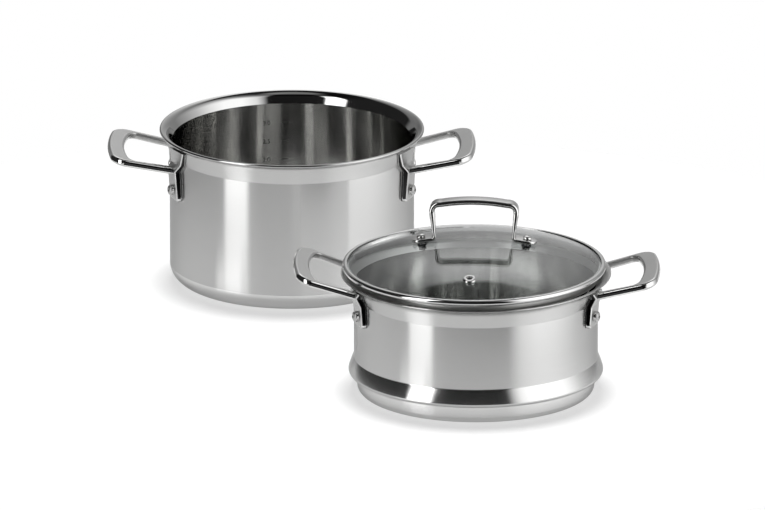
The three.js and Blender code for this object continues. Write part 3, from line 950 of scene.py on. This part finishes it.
# lid: domed glass in a rolled band
lidShape = {
    "centre": (150.5, -308.0),
    "turn": -3.0,
    "seatHeight": 97.49,
    "seatOuter": 103.7,
    "seatWidth": 2.0,
    "bandBottom": 103.19,
    "bandTop": 108.19,
    "bandRadius": 108.1,
    "bandRound": 2.4,
    "bandLip": 3.8,
    "bandSheet": 0.7,
    "bandSoft": 0.3,
    "glassRadius": 107.1,
    "glassThickness": 3.0,
    "glassRise": 21.2,
    "glassEdge": 0.8,
    "glassSharp": 30.0,
    "flangeTop": 107.19,
    "screwHole": 2.6,
    "ventHole": 3.65,
    "holeCut": (-9.0, 4.0),     # ends of the cutters
    "ventReach": 77.5,
}


def domeRadius():
    edge = lidShape["bandRadius"] - lidShape["bandLip"]
    rise = lidShape["glassRise"]
    return (edge ** 2 + rise ** 2) / (2 * rise)


def domeCentre():
    return lidShape["flangeTop"] + lidShape["glassRise"] - domeRadius()


def domeHeight(reach):
    return domeCentre() + sqrt(domeRadius() ** 2 - reach ** 2)


def turnLid(piece):
    piece.data.transform(Matrix.Rotation(radians(lidShape["turn"]), 4, "Z"))
    moveTo(piece, lidShape["centre"])


def standOnGlass(piece, reach, direction):
    # moves a piece from the origin to its place on the dome, square to the glass
    tilt = asin(reach / domeRadius())
    axis = Vector((-direction[1], direction[0], 0))
    spot = Vector((direction[0] * reach, direction[1] * reach, domeHeight(reach))) * mm
    piece.data.transform(Matrix.Translation(spot) @ Matrix.Rotation(tilt, 4, axis))
    turnLid(piece)


def cutHole(glass, radius, reach, direction):
    low, high = lidShape["holeCut"]
    profile = [(0.0, low), (radius, low), (radius, high), (0.0, high)]
    cutter = lathe("holeCutter", profile, [lidGlass], sides=smallSides)
    standOnGlass(cutter, reach, direction)
    combine(glass, cutter, "DIFFERENCE", lidShape["glassSharp"])


def domeArc(radius, low):
    centre = domeCentre()
    end = degrees(asin((low - centre) / radius))
    return [(max(0.0, x), z) for x, z in arcPoints(0.0, centre, radius, 90, end, 0.5)]


def makeGlass():
    g = lidShape
    top = g["flangeTop"]
    low = top - g["glassThickness"]
    edge = g["glassEdge"]
    middle = g["glassRadius"] - edge
    profile = [
        *domeArc(domeRadius() - g["glassThickness"], low),
        *arcPoints(middle, low + edge, edge, -90, 0, 15.0),
        *arcPoints(middle, top - edge, edge, 0, 90, 15.0),
        *domeArc(domeRadius(), top)[::-1],
    ]
    glass = lathe("lidGlass", profile, [lidGlass], centre=g["centre"], sharp=g["glassSharp"])
    for side in (-1, 1):
        cutHole(glass, g["screwHole"], screwReach, (side, 0))
    cutHole(glass, g["ventHole"], g["ventReach"], (0, -1))
    finishPiece(glass, "lid", "lid_glass", "lid_glass")


def makeBand():
    b = lidShape
    seatInner = b["seatOuter"] - b["seatWidth"]
    lip = b["bandRadius"] - b["bandLip"]
    groove = b["bandRadius"] - b["bandSheet"]
    upper = b["bandTop"] - b["bandSheet"]
    lower = b["bandBottom"] + b["bandSheet"]
    soft = b["bandSoft"]
    roll = b["bandRound"]
    profile = [
        *arcPoints(seatInner + soft, b["seatHeight"] + soft, soft, 180, 270, 30.0),
        *arcPoints(b["seatOuter"] - soft, b["seatHeight"] + soft, soft, -90, 0, 30.0),
        (b["seatOuter"], b["bandBottom"] - soft),
        *arcPoints(b["bandRadius"] - roll, b["bandBottom"] + roll, roll, -90, 0, 6.0),
        *arcPoints(b["bandRadius"] - roll, b["bandTop"] - roll, roll, 0, 90, 6.0),
        *arcPoints(lip + soft, b["bandTop"] - soft, soft, 90, 180, 30.0),
        (lip, upper),
        (groove, upper),
        (groove, lower),
        (seatInner, lower),
    ]
    band = lathe("lidRimBand", profile, [polishedSteel], centre=b["centre"], closed=True)
    finishPiece(band, "lid", "polished_steel", "lid_rim_band")


# bail: flattened foot, leg and crowned bar
bailShape = {
    "barWidth": 13.0,
    "barThickness": 4.4,
    "barEdge": 1.9,
    "legThickness": 2.3,
    "height": 34.8,
    "topHalf": 37.6,
    "footHalf": 31.6,
    "crown": 2.3,
    "bend": 8.5,
    "heelBend": 2.6,
    "footWidth": 14.0,
    "footThickness": 2.6,
    "footEdge": 0.9,
    "footReach": 11.4,
    "footTip": 8.0,
    "footLift": 2.5,        # middle of the foot above the glass
    "footEnd": 0.12,        # shares of the leg: where the foot ends, where the leg widens and thins
    "widen": (0.5, 0.4),
    "thin": (1.0, 0.9),
    "tipHalf": 0.2,
    "tipSoft": 0.8,         # most that the edges take of the foot's width
    "legSoft": 0.86,        # and of the leg's thickness
    "sharp": 40.0,
}
screwReach = bailShape["footHalf"] + bailShape["footReach"]


def bailPath():
    # middle line of the bail in its own plane: tip of one foot, leg, crowned bar, leg, other tip
    b = bailShape
    tilt = asin(screwReach / domeRadius())
    slope = Vector((cos(tilt), -sin(tilt)))
    out = Vector((sin(tilt), cos(tilt)))
    screw = Vector((screwReach, domeHeight(screwReach))) + out * b["footLift"]
    tip = screw + slope * b["footTip"]
    heel = screw - slope * b["footReach"]
    top = domeHeight(0.0) + b["height"] - b["barThickness"] / 2
    shoulder = Vector((b["topHalf"] - b["barThickness"] / 2, top - b["crown"]))
    upLeg = (shoulder - heel).normalized()
    heelOut = heel + slope * b["heelBend"]
    heelUp = heel + upLeg * b["heelBend"]
    bendLow = shoulder - upLeg * b["bend"]
    bendHigh = shoulder - Vector((b["bend"], 0.0))
    crest = Vector((0.0, top + b["crown"]))
    half = bezier([tip, heelOut], 16)
    half += bezier([heelOut, heel, heelUp], 10)[1:]
    half += bezier([heelUp, bendLow], 20)[1:]
    half += bezier([bendLow, shoulder, bendHigh], 16)[1:]
    half += bezier([bendHigh, crest, Vector((-bendHigh.x, bendHigh.y))], 32)[1:17]
    whole = half + [Vector((-p.x, p.y)) for p in half[-2::-1]]
    return whole, heel, bendLow, tip


def bailSection(half, thick, edge):
    points = []
    for along, up, start in ((1, -1, -90), (1, 1, 0), (-1, 1, 90), (-1, -1, 180)):
        points += arcPoints(along * (half - edge), up * (thick - edge), edge, start, start + 90, 15.0)
    return points


def smoothStep(value):
    value = max(0.0, min(1.0, value))
    return value * value * (3 - 2 * value)


def makeBail():
    b = bailShape
    path, heel, bendLow, tip = bailPath()
    sections = []
    for i, point in enumerate(path):
        run = (path[min(len(path) - 1, i + 1)] - path[max(0, i - 1)]).normalized()
        rise = (point.y - heel.y) / (bendLow.y - heel.y)
        half = b["barWidth"] / 2
        thick = b["barThickness"] / 2
        edge = b["barEdge"]
        if abs(point.x) > abs(heel.x) - 0.01 and rise < b["footEnd"]:
            half = b["footWidth"] / 2
            thick = b["footThickness"] / 2
            edge = b["footEdge"]
            fromTip = (tip - Vector((abs(point.x), point.y))).length
            if fromTip < half:
                half = sqrt(max(b["tipHalf"] ** 2, half ** 2 - (half - fromTip) ** 2))
                edge = min(edge, half * b["tipSoft"])
        elif rise < 1.0:
            thinFrom, thinOver = b["thin"]
            wideFrom, wideOver = b["widen"]
            thick += (b["legThickness"] / 2 - thick) * smoothStep((thinFrom - rise) / thinOver)
            half += (b["footWidth"] / 2 - half) * smoothStep((wideFrom - rise) / wideOver)
            edge = min(edge, thick * b["legSoft"])
        sections.append([(point.x - run.y * out, along, point.y + run.x * out)
                         for along, out in bailSection(half, thick, edge)])
    bail = sweep("lidHandle", sections, [polishedSteel], sharp=b["sharp"])
    turnLid(bail)
    finishPiece(bail, "lid", "polished_steel", "lid_handle")


# screws, washers and nuts through the bail's feet, and the steam vent; heights from the top of the glass
fittingShape = {
    "screwHeadRadius": 3.7,
    "screwCollar": 0.5,
    "screwDome": 1.76,
    "screwDimple": [(0.9, 1.672), (0.7, 1.1), (0.0, 1.1)],     # radius and height above the collar
    "screwSeat": 4.4,
    "screwSoft": 0.2,
    "screwShankRadius": 2.0,
    "screwEnd": -8.8,
    "screwTaper": 0.4,
    "gaskets": {"Upper": (5.4, 0.25, 1.05), "Lower": (3.8, -4.9, -3.3)},    # radius, underside and top
    "gasketBore": 2.3,
    "gasketSoft": 0.4,
    "nutRadius": 3.5,
    "nutSharp": 25.0,
    # radius and height of the nut's rings
    "nut": [(2.3, -5.2), (2.3, -7.8), (3.15, -7.8), (3.5, -7.45), (3.5, -5.4), (3.29, -5.2)],
    "eyeletFlangeRadius": 5.5,
    "eyeletFlange": 1.2,
    "eyeletFlat": 0.2,
    "eyeletSoft": 0.5,
    "eyeletTubeRadius": 3.2,
    "eyeletBoreRadius": 2.1,
    "eyeletRimRadius": 4.6,
    "eyeletRim": 0.8,
    "eyeletGap": 0.45,
    "eyeletSides": 64,
}


def screwProfile():
    f = fittingShape
    seat, collar = f["screwSeat"], f["screwSeat"] + f["screwCollar"]
    dome = arcPoints(0.0, 0.0, 1.0, 0, 75, 7.5)
    return [
        (0.0, f["screwEnd"]),
        (f["screwShankRadius"] - f["screwTaper"], f["screwEnd"]),
        (f["screwShankRadius"], f["screwEnd"] + f["screwTaper"]),
        (f["screwShankRadius"], seat),
        (f["screwHeadRadius"] - f["screwSoft"], seat),
        (f["screwHeadRadius"], seat + f["screwSoft"]),
        *[(f["screwHeadRadius"] * x, collar + f["screwDome"] * z) for x, z in dome],
        *[(radius, collar + height) for radius, height in f["screwDimple"]],
    ]


def makeNut(name):
    # hexagon with turned-off edges and a plain bore
    sixth = pi / 3
    sections = []
    for limit, height in fittingShape["nut"]:
        section = []
        for x, y, z in ring(1.0, height, smallSides):
            turn = (atan2(y, x) + sixth / 2) % sixth - sixth / 2
            radius = min(limit, fittingShape["nutRadius"] * cos(sixth / 2) / cos(turn))
            section.append((radius * x, radius * y, z))
        sections.append(section)
    return sweep(name, sections, [polishedSteel], sharp=fittingShape["nutSharp"], closed=True)


def fitToGlass(piece, reach, direction, slot, node):
    standOnGlass(piece, reach, direction)
    finishPiece(piece, "lid", slot, node)


def makeFittings():
    f = fittingShape
    bore, soft = f["gasketBore"], f["gasketSoft"]
    for end, side in (("Left", -1), ("Right", 1)):
        screw = lathe("lidScrew" + end, screwProfile(), [polishedSteel], sides=smallSides)
        fitToGlass(screw, screwReach, (side, 0), "polished_steel", "lid_screw_" + end.lower())
        for kind, (rim, low, high) in f["gaskets"].items():
            washer = lathe("lid" + kind + "Gasket" + end, [
                (bore, low),
                *arcPoints(rim - soft, low + soft, soft, -90, 0, 22.5),
                *arcPoints(rim - soft, high - soft, soft, 0, 90, 22.5),
                (bore, high),
            ], [blackSilicone], sides=smallSides, closed=True)
            node = "lid_" + kind.lower() + "_gasket_" + end.lower()
            fitToGlass(washer, screwReach, (side, 0), "black_rubber", node)
        nut = makeNut("lidNut" + end)
        fitToGlass(nut, screwReach, (side, 0), "polished_steel", "lid_nut_" + end.lower())
    gap, flange, roll = f["eyeletGap"], f["eyeletFlange"], f["eyeletRim"] / 2
    under = -lidShape["glassThickness"] - gap
    soft = f["eyeletSoft"]
    eyelet = lathe("lidVentEyelet", [
        (f["eyeletBoreRadius"], under - f["eyeletRim"]),
        *arcPoints(f["eyeletRimRadius"] - roll, under - roll, roll, -90, 90, 22.5),
        (f["eyeletTubeRadius"], under),
        (f["eyeletTubeRadius"], gap),
        (f["eyeletFlangeRadius"] - f["eyeletFlat"], gap),
        *arcPoints(f["eyeletFlangeRadius"] - flange, gap, flange, 0, 90, 10.0),
        *arcPoints(f["eyeletBoreRadius"] + soft, gap + flange - soft, soft, 90, 180, 15.0),
    ], [polishedSteel], sides=f["eyeletSides"], closed=True)
    fitToGlass(eyelet, lidShape["ventReach"], (0, -1), "polished_steel", "lid_vent_eyelet")


makeGlass()
makeBand()
makeBail()
makeFittings()
print("lid made")


# stage: pale floor, card and shine that only the steel sees, strip light on the left, soft light on the right
def hideFrom(thing, *rays):
    for ray in rays:
        setattr(thing, "visible_" + ray, False)


floorSetup = {
    "middle": (40.0, -170.0),
    "reach": 570.0,
    "sides": 180,
    "level": 0.38,          # colour and glow as seen in the steel
    "cameraColour": 0.4,    # and as seen by the camera
    "cameraGlow": 0.61,
    "paintedShadeUnder": steamerShape["skirtRadius"] - 8.0,     # painted shadow under the steamer: no glow there except for the camera, so the steam holes show it dark
}


def makeFloor():
    f = floorSetup
    material, tree, shader = newMaterial("floorPaper")
    grain = newNode(tree, "Group", {"Size": 8.0, "Rough Middle": 0.9, "Rough Spread": 0.1, "Shade Depth": 0.01},
                    node_tree=handlingHaze)
    toCamera = newNode(tree, "LightPath").outputs["Is Camera Ray"]

    def forCamera(value):
        return newMath(tree, "ADD", newMath(tree, "MULTIPLY", toCamera, value - f["level"]), f["level"])
    offset = [(a - b) * mm for a, b in zip(steamerShape["centre"], f["middle"])] + [0.0]
    place = newNode(tree, "TexCoord").outputs["Object"]
    away = newNode(tree, "VectorMath", {0: place, 1: offset}, operation="DISTANCE").outputs["Value"]
    # painted shadow: the floor under the steamer has no glow, except for camera rays
    outsidePaintedShade = newMath(tree, "MAXIMUM", newMath(tree, "GREATER_THAN", away, f["paintedShadeUnder"] * mm), toCamera)
    setSockets(tree, shader, {
        "Base Color": newMath(tree, "MULTIPLY", forCamera(f["cameraColour"]), grain.outputs["Shade"]),
        "Roughness": 1.0,
        "Specular IOR Level": 0.0,
        "Emission Color": (1.0, 1.0, 1.0, 1.0),
        "Emission Strength": newMath(tree, "MULTIPLY", forCamera(f["cameraGlow"]), outsidePaintedShade),
    })
    floor = newPiece("floor", ring(f["reach"], 0.0, f["sides"]), [list(range(f["sides"]))], [material],
                     centre=f["middle"])


# pale card behind the steamer: keeps its dark back out of the pot's wall, seen from the pot's side only
cardSetup = {
    "reach": 116.0,
    "height": (0.5, 112.0),
    "spread": 170.0,
    "steps": 24,
    "fade": (60.0, 105.0),
    "glow": (0.78, 0.03),
}


def makeCard():
    c = cardSetup
    verts = []
    for i in range(c["steps"] + 1):
        angle = radians(90 + c["spread"] * (i / c["steps"] - 0.5))
        for height in c["height"]:
            verts.append((c["reach"] * cos(angle), c["reach"] * sin(angle), height))
    faces = [[2 * i, 2 * i + 2, 2 * i + 3, 2 * i + 1] for i in range(c["steps"])]
    material, tree, shader = newMaterial("paleCard")
    place = newNode(tree, "TexCoord").outputs["Object"]
    fade = newNode(tree, "MapRange", {
        "Value": newNode(tree, "SeparateXYZ", {0: place}).outputs["Z"],
        "From Min": c["fade"][0] * mm,
        "From Max": c["fade"][1] * mm,
        "To Min": c["glow"][0],
        "To Max": c["glow"][1],
    }, interpolation_type="SMOOTHSTEP")
    behind = newNode(tree, "NewGeometry").outputs["Backfacing"]
    setSockets(tree, shader, {
        "Base Color": (0.0, 0.0, 0.0, 1.0),
        "Specular IOR Level": 0.0,
        "Emission Color": (1.0, 1.0, 1.0, 1.0),
        "Emission Strength": fade.outputs[0],
        "Alpha": newMath(tree, "SUBTRACT", 1.0, behind),
    })
    card = newPiece("paleCard", verts, faces, [material], centre=steamerShape["centre"])
    hideFrom(card, "camera", "diffuse", "transmission", "shadow")


# lights of the studio: level by turn from the front, and how it fades with height
stripLight = {
    "turn": [(-180, 0.0), (-65.5, 0.0), (-64, 3.7), (-42, 3.7), (-40.5, 0.0), (180, 0.0)],
    "lift": [(-90, 1.0), (58, 1.0), (64, 0.03), (90, 0.0)],
}
softLight = {
    "turn": [(-180, 0.0), (-142, 0.0), (-136, 0.03), (-65, 0.03), (-40, 0.025), (30, 0.02), (36, 0.9), (43, 1.7),
             (60, 2.35), (80, 2.3), (95, 1.8), (110, 1.1), (125, 0.7), (140, 0.0), (180, 0.0)],
    "lift": [(-90, 1.0), (54, 1.0), (66, 0.3), (74, 0.06), (90, 0.04)],
}
backdrop = {
    "turn": [(-180, 0.9), (-173, 0.5), (-164, 0.3), (-156, 0.4), (-144, 0.4), (-138, 0.0), (125, 0.0),
             (140, 0.6), (150, 0.6), (162, 0.7), (172, 0.9), (180, 0.9)],
    "lift": [(-90, 0.8), (-6, 0.8), (3, 0.7), (25, 0.7), (44, 0.4), (50, 0.05), (90, 0.03)],
    "depth": 3.5,           # out of reach deeper inside the vessels
}
backPanel = {
    "turn": [(-180, 1.0), (-172, 0.9), (-162, 0.3), (-150, 0.1), (-135, 0.0), (135, 0.0), (150, 0.2),
             (162, 0.5), (172, 0.9), (180, 1.0)],
    "lift": [(-90, 0.0), (12, 0.0), (24, 0.4), (34, 1.3), (42, 1.9), (50, 2.0), (52, 0.0), (90, 0.0)],
}
ceiling = {
    "turn": [(-180, 1.0), (180, 1.0)],
    "lift": [(-90, 0.0), (74, 0.0), (80, 0.35), (90, 0.35)],
}

# shine of the strip light and the soft light on the floor, which the flare under the rim shows
shineSetup = {
    "near": 45.0,
    "far": 112.0,
    "height": 0.6,
    "strip": 0.21,
    "soft": 0.15,
    "firstTurn": -70.0,
    "turnStep": 1.5,
    "steps": 140,
}


def levelAt(stops, at):
    for (low, first), (high, last) in zip(stops, stops[1:]):
        if low <= at <= high:
            return first + (last - first) * (at - low) / (high - low)
    return 0.0


def makeShine(shape):
    s = shineSetup
    verts, levels = [], []
    lift = radians(cameraSetup["elevation"])
    sight = Vector((0, -cos(lift), sin(lift)))
    lean = radians(flareTilt(shape))
    for i in range(s["steps"] + 1):
        turn = s["firstTurn"] + s["turnStep"] * i
        level = s["strip"] * levelAt(stripLight["turn"], turn) + s["soft"] * levelAt(softLight["turn"], turn)
        half = radians(turn / 2)
        facing = Vector((cos(lean) * sin(half), -cos(lean) * cos(half), -sin(lean)))
        away = (2 * sight.dot(facing) * facing - sight).xy.normalized()     # way to the floor off the flare
        for reach in (s["near"], s["far"]):
            verts.append((shape["wallRadius"] * sin(half) + reach * away.x,
                          -shape["wallRadius"] * cos(half) + reach * away.y, s["height"]))
            levels.append(level)
    faces = [[2 * i, 2 * i + 1, 2 * i + 3, 2 * i + 2] for i in range(s["steps"])]
    name = shape["name"] + "Shine"
    material, tree, shader = newMaterial(name)
    tree.nodes.remove(shader)
    given = newNode(tree, "Attribute", attribute_name="level")
    glow = newNode(tree, "Emission", {"Strength": given.outputs["Fac"]})
    clear = newNode(tree, "BsdfTransparent")
    both = newNode(tree, "AddShader", {0: glow.outputs[0], 1: clear.outputs[0]})
    setSockets(tree, tree.nodes["Material Output"], {"Surface": both.outputs[0]})
    shine = newPiece(name, verts, faces, [material], centre=shape["centre"])
    shine.data.attributes.new("level", "FLOAT", "POINT").data.foreach_set("value", levels)
    hideFrom(shine, "camera", "diffuse", "transmission", "shadow")


topLight = {"lean": 5.3, "angle": 14.0, "power": 3.4}


def makeTopLight():
    data = bpy.data.lights.new("topLight", "SUN")
    data.angle = radians(topLight["angle"])
    data.energy = topLight["power"]
    lamp = addObject("topLight", data)
    lamp.location = (0, 0, 1)
    lamp.rotation_euler = (radians(-topLight["lean"]), 0, 0)
    hideFrom(lamp, "camera", "glossy", "transmission")


def makeWorld():
    world = bpy.data.worlds.new("studio")
    scene.world = world
    world.use_nodes = True
    world.cycles_visibility.diffuse = False
    tree = world.node_tree
    tree.nodes.clear()
    place = newNode(tree, "TexCoord").outputs["Generated"]
    x, y, z = newNode(tree, "SeparateXYZ", {0: place}).outputs
    turn = newMath(tree, "ARCTAN2", x, newMath(tree, "MULTIPLY", y, -1.0))
    around = newMath(tree, "ADD", newMath(tree, "DIVIDE", turn, 2 * pi), 0.5)
    lift = newMath(tree, "ADD", newMath(tree, "DIVIDE", newMath(tree, "ARCSINE", z), pi), 0.5)

    def ramp(stops, source):
        node = newNode(tree, "ValToRGB", {0: source})
        elements = node.color_ramp.elements
        while len(elements) < len(stops):
            elements.new(0.5)
        low, high = stops[0][0], stops[-1][0]
        for element, (at, level) in zip(elements, stops):
            element.position = (at - low) / (high - low)
        for element, (at, level) in zip(elements, stops):
            element.color = (level, level, level, 1.0)
        return node.outputs[0]
    path = newNode(tree, "LightPath").outputs
    level = 0.0
    for light in (stripLight, softLight, backdrop, backPanel, ceiling):
        product = newMath(tree, "MULTIPLY", ramp(light["turn"], around), ramp(light["lift"], lift))
        if "depth" in light:
            shallow = newMath(tree, "LESS_THAN", path["Glossy Depth"], light["depth"])
            product = newMath(tree, "MULTIPLY", product, shallow)
        level = newMath(tree, "ADD", product, level)
    # the camera sees plain white, also straight through the glass
    straight = newMath(tree, "LESS_THAN", path["Glossy Depth"], 0.5)
    through = newMath(tree, "MULTIPLY", path["Is Transmission Ray"], straight)
    studio = newNode(tree, "Background", {"Strength": level})
    white = newNode(tree, "Background", {"Color": (1.0, 1.0, 1.0, 1.0)})
    mix = newNode(tree, "MixShader", {
        0: newMath(tree, "MAXIMUM", path["Is Camera Ray"], through),
        1: studio.outputs[0],
        2: white.outputs[0],
    })
    newNode(tree, "OutputWorld", {"Surface": mix.outputs[0]})


scene.cycles.max_bounces = 24       # light runs round inside the vessels
scene.cycles.glossy_bounces = 16
makeFloor()
makeCard()
for vessel in (potShape, steamerShape):
    makeShine(vessel)
makeTopLight()
makeWorld()
print("stage set")
